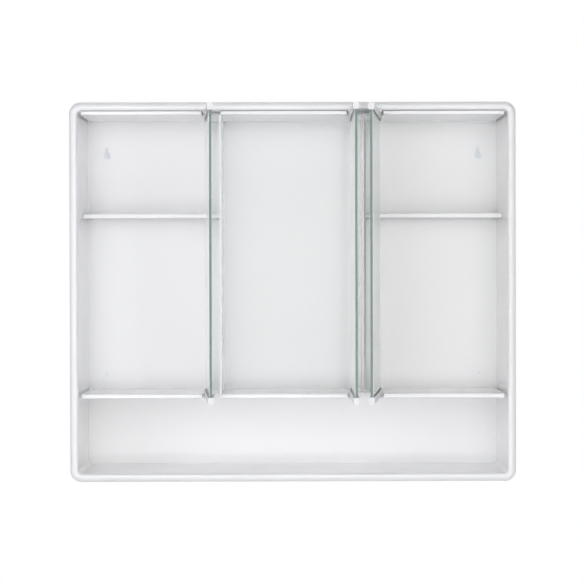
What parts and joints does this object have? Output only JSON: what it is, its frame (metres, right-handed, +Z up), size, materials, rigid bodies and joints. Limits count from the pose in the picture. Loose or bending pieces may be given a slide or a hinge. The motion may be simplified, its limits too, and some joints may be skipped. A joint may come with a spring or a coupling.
{
  "type": "mirrored medicine cabinet",
  "caption": "Wall-hung white plastic cabinet with pivoting frameless mirror doors, shelved side compartments, a tall middle compartment and an open tray below.",
  "frame": {"origin": "middle of the rear face, on the wall plane", "axes": "+X to the right seen from the front, +Y into the wall, +Z up; the doors open towards -Y"},
  "size_m": [0.59, 0.3169, 0.502],
  "materials": {
    "white_shell": "moulded white polystyrene, glossy",
    "white_panel": "moulded white polystyrene, glossy",
    "white_strip": "moulded white polystyrene, glossy",
    "hinge_plastic": "moulded white acetal",
    "peg_plastic": "moulded white nylon",
    "mirror_glass": "float glass silvered on its back face",
    "mirror_back_paint": "pale grey protective paint film",
    "gasket": "dark grey soft PVC",
    "steel_pin": "drawn steel wire"
  },
  "bodies": {
    "cabinet": {"cabinet_shell": "white_shell", "top_rail": "white_panel", "door_ledge": "white_panel", "left_divider": "white_panel", "right_divider": "white_panel", "left_shelf": "white_panel", "right_shelf": "white_panel", "left_shelf_pegs": "peg_plastic", "right_shelf_pegs": "peg_plastic", "left_upper_hinge_seat": "hinge_plastic", "left_lower_hinge_seat": "hinge_plastic", "middle_upper_hinge_seat": "hinge_plastic", "middle_lower_hinge_seat": "hinge_plastic", "right_upper_hinge_seat": "hinge_plastic", "right_lower_hinge_seat": "hinge_plastic"},
    "left_door": {"left_mirror_glass": "mirror_glass", "left_mirror_backing": "mirror_back_paint", "left_top_strip": "white_strip", "left_bottom_strip": "white_strip", "left_top_gasket": "gasket", "left_bottom_gasket": "gasket", "left_upper_pivot_pin": "steel_pin", "left_lower_pivot_pin": "steel_pin"},
    "middle_door": {"middle_mirror_glass": "mirror_glass", "middle_mirror_backing": "mirror_back_paint", "middle_top_strip": "white_strip", "middle_bottom_strip": "white_strip", "middle_top_gasket": "gasket", "middle_bottom_gasket": "gasket", "middle_upper_pivot_pin": "steel_pin", "middle_lower_pivot_pin": "steel_pin"},
    "right_door": {"right_mirror_glass": "mirror_glass", "right_mirror_backing": "mirror_back_paint", "right_top_strip": "white_strip", "right_bottom_strip": "white_strip", "right_top_gasket": "gasket", "right_bottom_gasket": "gasket", "right_upper_pivot_pin": "steel_pin", "right_lower_pivot_pin": "steel_pin"}
  },
  "joints": [
    {"name": "left_door_hinge", "type": "hinge", "parent": "cabinet", "child": "left_door", "pos_m": [-0.1135, -0.1434, 0.049], "axis": [0, 0, 1], "range_deg": [-93.7, 3.3]},
    {"name": "middle_door_hinge", "type": "hinge", "parent": "cabinet", "child": "middle_door", "pos_m": [0.0785, -0.1434, 0.049], "axis": [0, 0, 1], "range_deg": [-89.9, 2.1]},
    {"name": "right_door_hinge", "type": "hinge", "parent": "cabinet", "child": "right_door", "pos_m": [0.1135, -0.1434, 0.049], "axis": [0, 0, -1], "range_deg": [-95.5, 1.5]}
  ]
}
